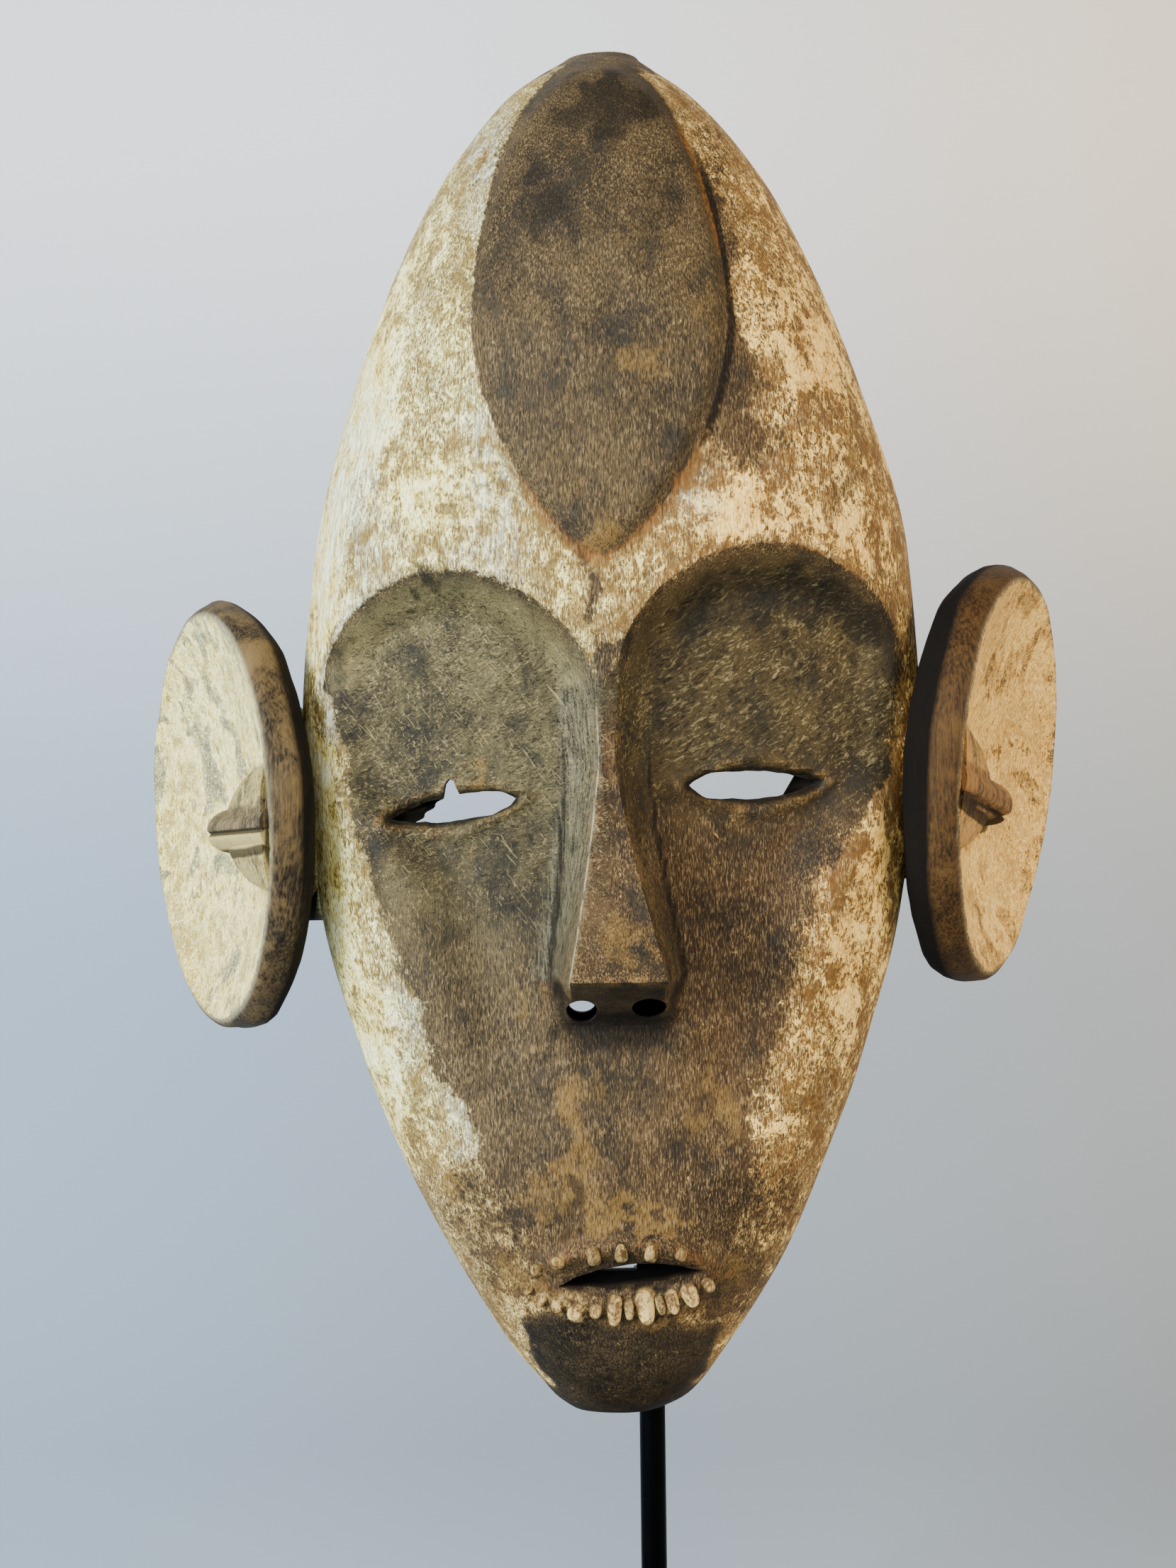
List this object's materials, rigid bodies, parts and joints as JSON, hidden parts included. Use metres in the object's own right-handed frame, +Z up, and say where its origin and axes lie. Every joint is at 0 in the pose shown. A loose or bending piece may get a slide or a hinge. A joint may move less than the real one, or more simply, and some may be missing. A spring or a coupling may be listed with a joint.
{
  "type": "boa mask on a display stand",
  "caption": "Carved wooden mask with a tall oval face, slit eyes, block nose, peg teeth and round dished ears, on a black steel rod with a base plate.",
  "frame": {"origin": "centre of the base plate's underside, under the rod's own vertical plane", "axes": "+Z up, the face looks along -Y, +X to the viewer's right"},
  "size_m": [0.283, 0.1614, 0.4966],
  "materials": {
    "carved_wood": "matt carved wood with worn white clay and dark pigment",
    "black_steel": "glossy black lacquer"
  },
  "bodies": {
    "root": {"mask": "carved_wood", "stand_base": "black_steel", "stand_rod": "black_steel", "stand_crossbar": "black_steel"}
  },
  "joints": []
}
